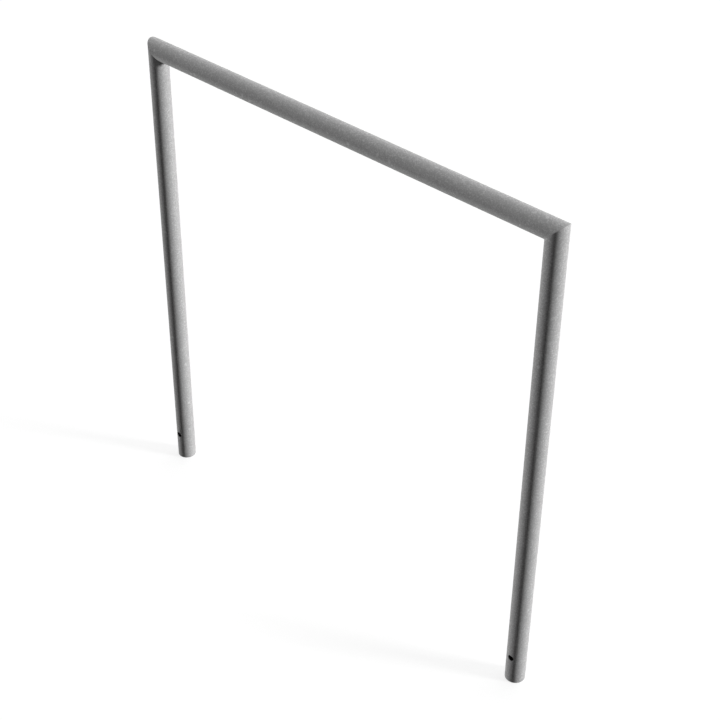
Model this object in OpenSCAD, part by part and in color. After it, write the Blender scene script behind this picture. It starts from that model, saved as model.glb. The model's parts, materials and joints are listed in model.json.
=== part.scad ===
// Hoop barrier of round galvanised steel tube: two legs and a top rail with mitred, welded
// corners. The origin is midway between the sawn feet, with X along the rail and -Y the front.

/* [Hoop] */
// Overall width, outside to outside of the legs
overall_w = 1250; // [500:10:2500]
// Overall height, from the sawn feet to the top of the rail
overall_h = 1250; // [500:10:2500]

/* [Tube] */
// Outside diameter of the round steel tube
tube_d = 48.6; // [33.7:0.1:88.9]
// Wall thickness of the tube
tube_wall = 3.2; // [2.6:0.1:5]
// Bevel that deburring leaves on both rims of a sawn foot
foot_bevel = 0.5; // [0.2:0.1:1]

/* [Corner welds] */
// Root gap between the two mitred tube ends, which the weld metal fills
weld_gap = 2.5; // [1.5:0.1:4]
// Height of the root bead that the weld leaves inside the bore
root_bead_h = 0.8; // [0.2:0.1:1.5]

/* [Anchor holes] */
// Diameter of the cross hole that takes an anchor rod
anchor_hole_d = 16; // [8:0.5:20]
// Height of the hole's axis above the sawn foot
anchor_hole_z = 77; // [40:0.5:300]

/* [Hidden] */
$fn = 96;

tube_r = tube_d / 2;
bore_r = tube_r - tube_wall;
// Inner radius of the weld, at the crest of its root bead
root_r = bore_r - root_bead_h;
leg_x = overall_w / 2 - tube_r;
rail_z = overall_h - tube_r;
mitre_angle = 45;
// Side of the square blocks that cut a corner, wider than the mitre's long diagonal
cut_size = 2 * tube_d;
// How far an uncut tube, or a drill, runs past the surface where the finished piece ends
run_past = 5;

// The -X leg has side -1 and the +X leg has side 1
LEFT = -1;
RIGHT = 1;

// A straight tube that stands on the XY plane. Its revolve starts at the back of the hoop,
// away from the tips of the mitre.
module plain_tube(length, inner_r) {
    rotate([0, 0, 90])
        rotate_extrude()
            translate([inner_r, 0])
                square([tube_r - inner_r, length]);
}

// The same tube with both rims of its lower end deburred
module footed_tube(length) {
    rotate_extrude()
        polygon([
            [bore_r, foot_bevel],
            [bore_r + foot_bevel, 0],
            [tube_r - foot_bevel, 0],
            [tube_r, foot_bevel],
            [tube_r, length],
            [bore_r, length]
        ]);
}

// Places what is drawn about the XY plane on the mitre plane of one corner, with the leg
// below that plane and the rail above it
module at_mitre(side) {
    translate([side * leg_x, 0, rail_z])
        rotate([0, -side * mitre_angle, 0])
            children();
}

// The layer of a corner between two distances from its mitre plane
module mitre_layer(side, from, to) {
    at_mitre(side)
        translate([-cut_size / 2, -cut_size / 2, from])
            cube([cut_size, cut_size, to - from]);
}

module anchor_hole() {
    translate([0, 0, anchor_hole_z])
        rotate([90, 0, 0])
            cylinder(d = anchor_hole_d, h = tube_d + 2 * run_past, center = true);
}

// One leg: sawn square and deburred at the foot, cross-drilled from front to back, and
// mitred at the top, half the root gap short of the mitre plane
module leg(side) {
    difference() {
        translate([side * leg_x, 0, 0])
            difference() {
                footed_tube(overall_h + run_past);
                anchor_hole();
            }
        mitre_layer(side, -weld_gap / 2, cut_size);
    }
}

module left_leg() {
    color("#a6a6a6") leg(LEFT);
}

module right_leg() {
    color("#a6a6a6") leg(RIGHT);
}

// The rail's tube before its ends are mitred
module uncut_rail(inner_r) {
    translate([-overall_w / 2 - run_past, 0, rail_z])
        rotate([0, 90, 0])
            plain_tube(overall_w + 2 * run_past, inner_r);
}

// The top rail, mitred at both ends to meet the legs
module top_rail() {
    color("#a9a9a9")
        difference() {
            uncut_rail(bore_r);
            mitre_layer(LEFT, -cut_size, weld_gap / 2);
            mitre_layer(RIGHT, -cut_size, weld_gap / 2);
        }
}

// One corner weld: an elliptical ring of weld metal that fills the root gap. Each half of it
// carries on its own tube, so the ridge of the mitre stays sharp and the outside is ground
// flush, and the root bead stands into the bore.
module corner_weld(side) {
    intersection() {
        translate([side * leg_x, 0, 0])
            plain_tube(overall_h + run_past, root_r);
        mitre_layer(side, -weld_gap / 2, 0);
    }
    intersection() {
        uncut_rail(root_r);
        mitre_layer(side, 0, weld_gap / 2);
    }
}

module left_corner_weld() {
    color("#9c9c9c") corner_weld(LEFT);
}

module right_corner_weld() {
    color("#9c9c9c") corner_weld(RIGHT);
}

left_leg();
right_leg();
top_rail();
left_corner_weld();
right_corner_weld();
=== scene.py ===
import json
import math

import bpy
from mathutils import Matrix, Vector


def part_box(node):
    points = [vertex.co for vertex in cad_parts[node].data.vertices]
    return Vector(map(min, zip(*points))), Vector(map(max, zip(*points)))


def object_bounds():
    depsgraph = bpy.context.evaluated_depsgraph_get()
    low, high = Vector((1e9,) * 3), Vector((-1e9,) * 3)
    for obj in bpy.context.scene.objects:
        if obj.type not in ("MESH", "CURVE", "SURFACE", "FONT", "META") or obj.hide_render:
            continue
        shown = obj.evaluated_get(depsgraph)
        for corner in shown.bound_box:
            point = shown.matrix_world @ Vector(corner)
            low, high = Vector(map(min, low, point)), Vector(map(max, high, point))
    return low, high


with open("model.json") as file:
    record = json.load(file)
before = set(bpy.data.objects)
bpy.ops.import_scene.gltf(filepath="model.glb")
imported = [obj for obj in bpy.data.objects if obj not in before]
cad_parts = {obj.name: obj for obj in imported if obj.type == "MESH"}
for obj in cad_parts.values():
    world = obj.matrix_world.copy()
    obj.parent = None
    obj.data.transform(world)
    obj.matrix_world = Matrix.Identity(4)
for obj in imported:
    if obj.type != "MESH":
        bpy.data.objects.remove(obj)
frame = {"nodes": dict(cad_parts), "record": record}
cad_low, cad_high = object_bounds()

# Legs and top rail
# Three lengths of one round steel tube, sawn square at the feet, mitred at the corners and
# cross-drilled for anchor rods. The welded hoop was dipped whole in molten zinc, so zinc covers
# every face and rim, inside and out.


def linear(hex_colour):
    """An sRGB hex colour as the linear RGBA that a socket takes."""
    channels = [int(hex_colour[i:i + 2], 16) / 255 for i in (1, 3, 5)]
    return [c / 12.92 if c <= 0.04045 else ((c + 0.055) / 1.055) ** 2.4 for c in channels] + [1.0]


def add_node(tree, kind, inputs=None, **settings):
    """A new node. Each input is named or numbered, and is a value or another node's output."""
    made = tree.nodes.new(kind)
    for name, value in settings.items():
        setattr(made, name, value)
    for socket, value in (inputs or {}).items():
        if isinstance(value, bpy.types.NodeSocket):
            tree.links.new(value, made.inputs[socket])
        else:
            made.inputs[socket].default_value = value
    return made


MM = 0.001
# The sockets of a Mix node that mixes colours, and of one that mixes directions
MIX_A, MIX_B, MIX_RESULT = 6, 7, 2
TURN_A, TURN_B, TURN_RESULT = 4, 5, 1

leg_low, leg_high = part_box("right_leg")
TUBE_R = (leg_high.x - leg_low.x) / 2
LEG_X = leg_high.x - TUBE_R
RAIL_Z = cad_high.z - TUBE_R
anchor_hole = next(m for m in frame["record"]["mounts"] if m["name"] == "right_anchor_hole")
HOLE_R = anchor_hole["dims"]["r_mm"] * MM
HOLE_Z = anchor_hole["pos_m"][2]


def matt_coat(name):
    """A new material for zinc whose shine is hidden under a dull skin, which is no metal."""
    skin_shine = 0.12
    material = bpy.data.materials.new(name)
    material.use_nodes = True
    shader = material.node_tree.nodes["Principled BSDF"]
    shader.inputs["Metallic"].default_value = 0.0
    shader.inputs["Specular IOR Level"].default_value = skin_shine
    return material, material.node_tree, shader


def frozen_zinc(tree, place, crystal_width):
    """How the zinc froze: how light it is, about 0 to 1, its fine grain, and where its flecks are.
    Ragged crystals and the grain between them lie under broad faint clouds, and a fleck is a
    patch up to 11 mm wide where nearly every crystal froze light. The grain is about 0.5 mm wide
    in truth, and is drawn 1.5 mm so that it shows."""
    rag_width = 2.5 * MM
    rag_reach = 1.6 * MM
    fleck_spacing = 23 * MM
    fleck_core_r = 2.5 * MM
    fleck_r = 5.5 * MM
    grain_width = 1.5 * MM
    cloud_width = 60 * MM

    # Every outline is shifted to and fro, which makes it ragged
    rag = add_node(tree, "ShaderNodeTexNoise",
                   {"Vector": place, "Scale": 1 / rag_width, "Detail": 2.0}).outputs["Color"]
    ragged = add_node(tree, "ShaderNodeVectorMath", {0: rag, 1: (rag_reach,) * 3, 2: place},
                      operation="MULTIPLY_ADD").outputs[0]

    fleck_cells = add_node(tree, "ShaderNodeTexVoronoi", {"Vector": ragged, "Scale": 1 / fleck_spacing})
    fleck_shape = add_node(tree, "ShaderNodeMapRange",
                           {"Value": fleck_cells.outputs["Distance"],
                            "From Min": fleck_core_r / fleck_spacing, "From Max": fleck_r / fleck_spacing,
                            "To Min": 1.0, "To Max": 0.0},
                           interpolation_type="SMOOTHSTEP").outputs["Result"]
    fleck_strength = add_node(tree, "ShaderNodeSeparateColor",
                              {"Color": fleck_cells.outputs["Color"]}).outputs["Green"]
    fleck = add_node(tree, "ShaderNodeMath", {0: fleck_shape, 1: fleck_strength},
                     operation="MULTIPLY").outputs[0]

    # Each crystal has its own lightness from 0 to 1. Raised to a power over 1 few stay light, and
    # to one under 1 nearly all do.
    power_outside = 2.5
    power_in_fleck = 0.3
    crystals = add_node(tree, "ShaderNodeTexVoronoi",
                        {"Vector": ragged, "Scale": 1 / crystal_width, "Smoothness": 0.35},
                        feature="SMOOTH_F1").outputs["Color"]
    lightness = add_node(tree, "ShaderNodeSeparateColor", {"Color": crystals}).outputs["Red"]
    power = add_node(tree, "ShaderNodeMath",
                     {0: fleck, 1: power_in_fleck - power_outside, 2: power_outside},
                     operation="MULTIPLY_ADD").outputs[0]
    light_crystals = add_node(tree, "ShaderNodeMath", {0: lightness, 1: power},
                              operation="POWER").outputs[0]

    grain = add_node(tree, "ShaderNodeTexNoise",
                     {"Vector": place, "Scale": 1 / grain_width, "Detail": 1.0}).outputs["Fac"]
    clouds = add_node(tree, "ShaderNodeTexNoise",
                      {"Vector": place, "Scale": 1 / cloud_width, "Detail": 4.0}).outputs["Fac"]
    tone = 0.0
    for layer, share in ((grain, 0.45), (light_crystals, 0.65), (fleck, 0.22), (clouds, 0.2)):
        tone = add_node(tree, "ShaderNodeMath", {0: layer, 1: share, 2: tone},
                        operation="MULTIPLY_ADD").outputs[0]
    return tone, grain, fleck


def on_hoop(tree, place):
    """Where a point lies on the hoop, by name: the point itself, with the left half folded onto
    the right one and the front onto the back, its distance to either side of the mitre plane, how
    far out along the mitre it lies from where the axes meet, its distance from its own tube's
    axis, and the way that the surface faces there."""
    folded = add_node(tree, "ShaderNodeVectorMath", {0: place}, operation="ABSOLUTE").outputs[0]
    unfold = add_node(tree, "ShaderNodeVectorMath", {0: place}, operation="SIGN").outputs[0]
    from_corner = add_node(tree, "ShaderNodeVectorMath", {0: folded, 1: (LEG_X, 0, RAIL_Z)},
                           operation="SUBTRACT").outputs[0]
    diagonal = math.sqrt(0.5)
    above_mitre = add_node(tree, "ShaderNodeVectorMath", {0: from_corner, 1: (-diagonal, 0, diagonal)},
                           operation="DOT_PRODUCT").outputs["Value"]
    beside_mitre = add_node(tree, "ShaderNodeMath", {0: above_mitre}, operation="ABSOLUTE").outputs[0]
    out_of_corner = add_node(tree, "ShaderNodeVectorMath", {0: from_corner, 1: (diagonal, 0, diagonal)},
                             operation="DOT_PRODUCT").outputs["Value"]

    # Above the mitre plane lies the rail, which runs along X, and below it the leg, along Z
    on_rail = add_node(tree, "ShaderNodeMath", {0: above_mitre, 1: 0.0},
                       operation="GREATER_THAN").outputs[0]
    on_leg = add_node(tree, "ShaderNodeMath", {0: 1.0, 1: on_rail}, operation="SUBTRACT").outputs[0]
    across_tube = add_node(tree, "ShaderNodeCombineXYZ", {"X": on_leg, "Y": 1.0, "Z": on_rail}).outputs[0]
    off_axis = add_node(tree, "ShaderNodeVectorMath", {0: from_corner, 1: across_tube},
                        operation="MULTIPLY").outputs[0]
    from_axis = add_node(tree, "ShaderNodeVectorMath", {0: off_axis}, operation="LENGTH").outputs["Value"]

    # The outside of a tube faces straight away from its axis. The mesh's own normals lean by up to
    # 5 degrees near a cut, so they are kept only for rims, cut faces and the bore.
    outside_r = TUBE_R - 0.15 * MM
    off_axis_unfolded = add_node(tree, "ShaderNodeVectorMath", {0: off_axis, 1: unfold},
                                 operation="MULTIPLY").outputs[0]
    away = add_node(tree, "ShaderNodeVectorMath", {0: off_axis_unfolded},
                    operation="NORMALIZE").outputs[0]
    outside = add_node(tree, "ShaderNodeMath", {0: from_axis, 1: outside_r},
                       operation="GREATER_THAN").outputs[0]
    meshed = add_node(tree, "ShaderNodeNewGeometry").outputs["Normal"]
    facing = add_node(tree, "ShaderNodeMix", {0: outside, TURN_A: meshed, TURN_B: away},
                      data_type="VECTOR").outputs[TURN_RESULT]
    return {"folded": folded, "beside_mitre": beside_mitre, "out_of_corner": out_of_corner,
            "from_axis": from_axis, "facing": facing}


# Matt hot-dip zinc on tube: a dull grey carbonate skin has grown over the crystals, so the eye
# sees soft light grey with a fine grain and scattered lighter flecks, with no metallic shine.
# Rims and ridges, where handling rubs the skin off, are a little lighter and smoother.
TUBE_CRYSTAL = 2.1 * MM
zinc, tree, shader = matt_coat("matt_galvanised_zinc")
place = add_node(tree, "ShaderNodeTexCoord").outputs["Object"]
tone, grain, fleck = frozen_zinc(tree, place, TUBE_CRYSTAL)
skin = add_node(tree, "ShaderNodeMix", {0: tone, MIX_A: linear("#a6a6a6"), MIX_B: linear("#dadada")},
                data_type="RGBA").outputs[MIX_RESULT]

# Rubbed places: the foot's rim, the hole's rim and the outer half of the mitre's ridge
here = on_hoop(tree, place)
height = add_node(tree, "ShaderNodeSeparateXYZ", {0: place}).outputs["Z"]
foot_rim = add_node(tree, "ShaderNodeMapRange",
                    {"Value": height, "From Min": 0.5 * MM, "From Max": 3 * MM,
                     "To Min": 1.0, "To Max": 0.0}).outputs["Result"]

from_hole = add_node(tree, "ShaderNodeVectorMath", {0: here["folded"], 1: (LEG_X, 0, HOLE_Z)},
                     operation="SUBTRACT").outputs[0]
across_hole = add_node(tree, "ShaderNodeVectorMath", {0: from_hole, 1: (1, 0, 1)},
                       operation="MULTIPLY").outputs[0]
from_hole_axis = add_node(tree, "ShaderNodeVectorMath", {0: across_hole},
                          operation="LENGTH").outputs["Value"]
hole_rim = add_node(tree, "ShaderNodeMapRange",
                    {"Value": from_hole_axis, "From Min": HOLE_R + 0.2 * MM, "From Max": HOLE_R + 1.2 * MM,
                     "To Min": 1.0, "To Max": 0.0}).outputs["Result"]

ridge = add_node(tree, "ShaderNodeMapRange",
                 {"Value": here["beside_mitre"], "From Min": 0.8 * MM, "From Max": 2.2 * MM,
                  "To Min": 1.0, "To Max": 0.0}).outputs["Result"]
outer_half = add_node(tree, "ShaderNodeMapRange",
                      {"Value": here["out_of_corner"], "From Min": 5 * MM,
                       "From Max": TUBE_R}).outputs["Result"]
edges = add_node(tree, "ShaderNodeMath", {0: ridge, 1: outer_half}, operation="MULTIPLY").outputs[0]
for rim in (foot_rim, hole_rim):
    edges = add_node(tree, "ShaderNodeMath", {0: edges, 1: rim}, operation="MAXIMUM").outputs[0]

# The skin is rubbed off in patches
PATCH_WIDTH = 9 * MM
patches = add_node(tree, "ShaderNodeTexNoise",
                   {"Vector": place, "Scale": 1 / PATCH_WIDTH, "Detail": 2.0}).outputs["Fac"]
rubbed_share = add_node(tree, "ShaderNodeMapRange",
                        {"Value": patches, "From Min": 0.4, "From Max": 0.65,
                         "To Min": 0.1, "To Max": 0.7}).outputs["Result"]
rubbed = add_node(tree, "ShaderNodeMath", {0: edges, 1: rubbed_share}, operation="MULTIPLY").outputs[0]
coat = add_node(tree, "ShaderNodeMix", {0: rubbed, MIX_A: skin, MIX_B: linear("#dcdcdc")},
                data_type="RGBA").outputs[MIX_RESULT]

# Painted shade: inside the bore, and deep in a drilled hole, the zinc's colour is darkened to stand for
# the shade there
bore_painted_shade = add_node(tree, "ShaderNodeMapRange",
                   {"Value": here["from_axis"], "From Min": TUBE_R - 2.2 * MM,
                    "From Max": TUBE_R - 0.6 * MM, "To Min": 1.0, "To Max": 0.0}).outputs["Result"]
coat_with_painted_bore_shade = add_node(tree, "ShaderNodeMix", {0: bore_painted_shade, MIX_A: coat, MIX_B: linear("#565656")},
                         data_type="RGBA").outputs[MIX_RESULT]
tree.links.new(coat_with_painted_bore_shade, shader.inputs["Base Color"])

# The flecks and the rubbed places are the smoothest
skin_roughness = add_node(tree, "ShaderNodeMapRange",
                          {"Value": grain, "From Min": 0.2, "From Max": 0.8,
                           "To Min": 0.57, "To Max": 0.73}).outputs["Result"]
smoothness = add_node(tree, "ShaderNodeMath", {0: fleck, 1: rubbed}, operation="MAXIMUM").outputs[0]
roughness = add_node(tree, "ShaderNodeMapRange",
                     {"Value": smoothness, "To Min": skin_roughness, "To Max": 0.45}).outputs["Result"]
tree.links.new(roughness, shader.inputs["Roughness"])
relief = add_node(tree, "ShaderNodeBump",
                  {"Strength": 0.3, "Distance": 0.06 * MM, "Height": tone, "Normal": here["facing"]})
tree.links.new(relief.outputs["Normal"], shader.inputs["Normal"])

for name in ("left_leg", "right_leg", "top_rail"):
    tube = frame["nodes"][name]
    tube.data.materials.clear()
    tube.data.materials.append(zinc)

# Corner welds
# A run of weld metal fills each mitre joint right round. It was ground flush before the hoop
# was dipped, so under the zinc it is only a line of slightly coarser, duller grain.

# Hot-dip zinc on ground weld metal: the silicon in the weld makes the coat grow thicker and
# duller, and it keeps a trace of the disc's marks. They are 0.2 mm wide in truth, drawn 0.9 mm.
WELD_CRYSTAL = 3.2 * MM
DISC_MARK_WIDTH = 0.9 * MM
DISC_MARK_DARKENING = 0.2
weld_zinc, tree, shader = matt_coat("galvanised_ground_weld")
place = add_node(tree, "ShaderNodeTexCoord").outputs["Object"]
tone, grain, _ = frozen_zinc(tree, place, WELD_CRYSTAL)
disc_marks = add_node(tree, "ShaderNodeTexNoise",
                      {"Vector": place, "Scale": 1 / DISC_MARK_WIDTH, "Detail": 1.0}).outputs["Fac"]
marked = add_node(tree, "ShaderNodeMath", {0: disc_marks, 1: -DISC_MARK_DARKENING, 2: tone},
                  operation="MULTIPLY_ADD").outputs[0]
weld_skin = add_node(tree, "ShaderNodeMix",
                     {0: marked, MIX_A: linear("#adadad"), MIX_B: linear("#dadada")}, data_type="RGBA")
tree.links.new(weld_skin.outputs[MIX_RESULT], shader.inputs["Base Color"])
weld_roughness = add_node(tree, "ShaderNodeMapRange", {"Value": grain, "To Min": 0.6, "To Max": 0.78})
tree.links.new(weld_roughness.outputs["Result"], shader.inputs["Roughness"])
weld_relief = add_node(tree, "ShaderNodeBump",
                       {"Strength": 0.4, "Distance": 0.08 * MM, "Height": marked,
                        "Normal": on_hoop(tree, place)["facing"]})
tree.links.new(weld_relief.outputs["Normal"], shader.inputs["Normal"])

for name in ("left_corner_weld", "right_corner_weld"):
    weld = frame["nodes"][name]
    weld.data.materials.clear()
    weld.data.materials.append(weld_zinc)

# Floor and backdrop
# A plain pale floor under a white backdrop. Both show white to the eye, in the picture and in
# gloss. The floor throws hardly any light on the hoop, and the backdrop gives it a weak light
# that is even all round.
FLOOR_HALF = 12.0
floor_mesh = bpy.data.meshes.new("floor")
floor_mesh.from_pydata([(-FLOOR_HALF, -FLOOR_HALF, 0), (FLOOR_HALF, -FLOOR_HALF, 0),
                        (FLOOR_HALF, FLOOR_HALF, 0), (-FLOOR_HALF, FLOOR_HALF, 0)], [], [(0, 1, 2, 3)])
floor = bpy.data.objects.new("floor", floor_mesh)
bpy.context.scene.collection.objects.link(floor)


def seen_directly(tree):
    """1 for the rays that show a thing to the eye, in the picture, in gloss or through glass."""
    path = add_node(tree, "ShaderNodeLightPath")
    seen = path.outputs["Is Camera Ray"]
    for ray in ("Is Glossy Ray", "Is Transmission Ray"):
        seen = add_node(tree, "ShaderNodeMath", {0: seen, 1: path.outputs[ray]},
                        operation="MAXIMUM").outputs[0]
    return seen


# Matt white studio paint. A glow of its own lifts it to white, and its matt part keeps the
# hoop's shadow. Inside the open feet there is no glow, so it is dark there.
FLOOR_GLOW = 0.77
paint = bpy.data.materials.new("studio_floor")
paint.use_nodes = True
tree = paint.node_tree
tree.nodes.clear()
place = add_node(tree, "ShaderNodeTexCoord").outputs["Object"]
folded = add_node(tree, "ShaderNodeVectorMath", {0: place}, operation="ABSOLUTE").outputs[0]
from_leg = add_node(tree, "ShaderNodeVectorMath", {0: folded, 1: (LEG_X, 0, 0)},
                    operation="DISTANCE").outputs["Value"]
outside_foot = add_node(tree, "ShaderNodeMath", {0: from_leg, 1: TUBE_R - 1 * MM},
                        operation="GREATER_THAN").outputs[0]
glow_level = add_node(tree, "ShaderNodeMath", {0: outside_foot, 1: FLOOR_GLOW},
                      operation="MULTIPLY").outputs[0]
matt = add_node(tree, "ShaderNodeBsdfDiffuse", {"Color": linear("#a0a0a0")})
glow = add_node(tree, "ShaderNodeEmission", {"Color": linear("#ffffff"), "Strength": glow_level})
pale = add_node(tree, "ShaderNodeAddShader", {0: matt.outputs[0], 1: glow.outputs[0]})
bounce = add_node(tree, "ShaderNodeBsdfDiffuse", {"Color": linear("#101010")})
floor_mix = add_node(tree, "ShaderNodeMixShader",
                     {0: seen_directly(tree), 1: bounce.outputs[0], 2: pale.outputs[0]})
add_node(tree, "ShaderNodeOutputMaterial", {"Surface": floor_mix.outputs[0]})
floor_mesh.materials.append(paint)
# The low lamp shines up through the floor
floor.visible_shadow = False

EVEN_LIGHT = 0.095
world = bpy.data.worlds.new("studio")
bpy.context.scene.world = world
world.use_nodes = True
tree = world.node_tree
tree.nodes.clear()
level = add_node(tree, "ShaderNodeMapRange",
                 {"Value": seen_directly(tree), "To Min": EVEN_LIGHT, "To Max": 1.0}).outputs["Result"]
backdrop = add_node(tree, "ShaderNodeBackground", {"Color": linear("#ffffff"), "Strength": level})
add_node(tree, "ShaderNodeOutputWorld", {"Surface": backdrop.outputs[0]})

# Lamps
# Three large soft lamps far away: the key at the hoop's right and a little behind, one overhead,
# and one low at the left that stands for light thrown back up by a pale floor. Azimuth 0 is in
# front of the hoop and 90 at its right, and a white face square to a lamp shows at its level.
LAMP_DISTANCE = 4
# Name, azimuth, elevation and apparent width in degrees, and level
for name, azimuth, elevation, width, level in (("key_light", 120.3, 10.9, 12, 1.095),
                                               ("top_light", 180.0, 85.0, 20, 0.44),
                                               ("under_light", -67.4, -28.4, 16, 0.63)):
    lamp = bpy.data.lights.new(name, "SUN")
    lamp.energy = level * math.pi
    lamp.angle = math.radians(width)
    light = bpy.data.objects.new(name, lamp)
    a, e = math.radians(azimuth), math.radians(elevation)
    towards_lamp = Vector((math.sin(a) * math.cos(e), -math.cos(a) * math.cos(e), math.sin(e)))
    light.location = towards_lamp * LAMP_DISTANCE
    # The lamp under the floor can't be mirrored in the hoop
    light.visible_glossy = elevation > 0
    light.rotation_mode = "QUATERNION"
    light.rotation_quaternion = towards_lamp.to_track_quat("Z", "Y")
    bpy.context.scene.collection.objects.link(light)

# Camera
# It looks down at the hoop's middle along the diagonal of a cube, from the right and in front,
# and a small shift puts the hoop where the photograph has it.
CAMERA_BACK = 2.096
camera_data = bpy.data.cameras.new("camera")
camera_data.lens = 76.35
camera_data.shift_x = 0.0322
camera_data.shift_y = -0.00147
camera = bpy.data.objects.new("camera", camera_data)
aim = Vector((0, 0, cad_high.z / 2))
camera.location = aim + Vector((CAMERA_BACK, -CAMERA_BACK, CAMERA_BACK))
camera.rotation_mode = "QUATERNION"
camera.rotation_quaternion = (aim - camera.location).to_track_quat("-Z", "Y")
bpy.context.scene.collection.objects.link(camera)
bpy.context.scene.camera = camera
bpy.context.scene.view_settings.view_transform = "Standard"
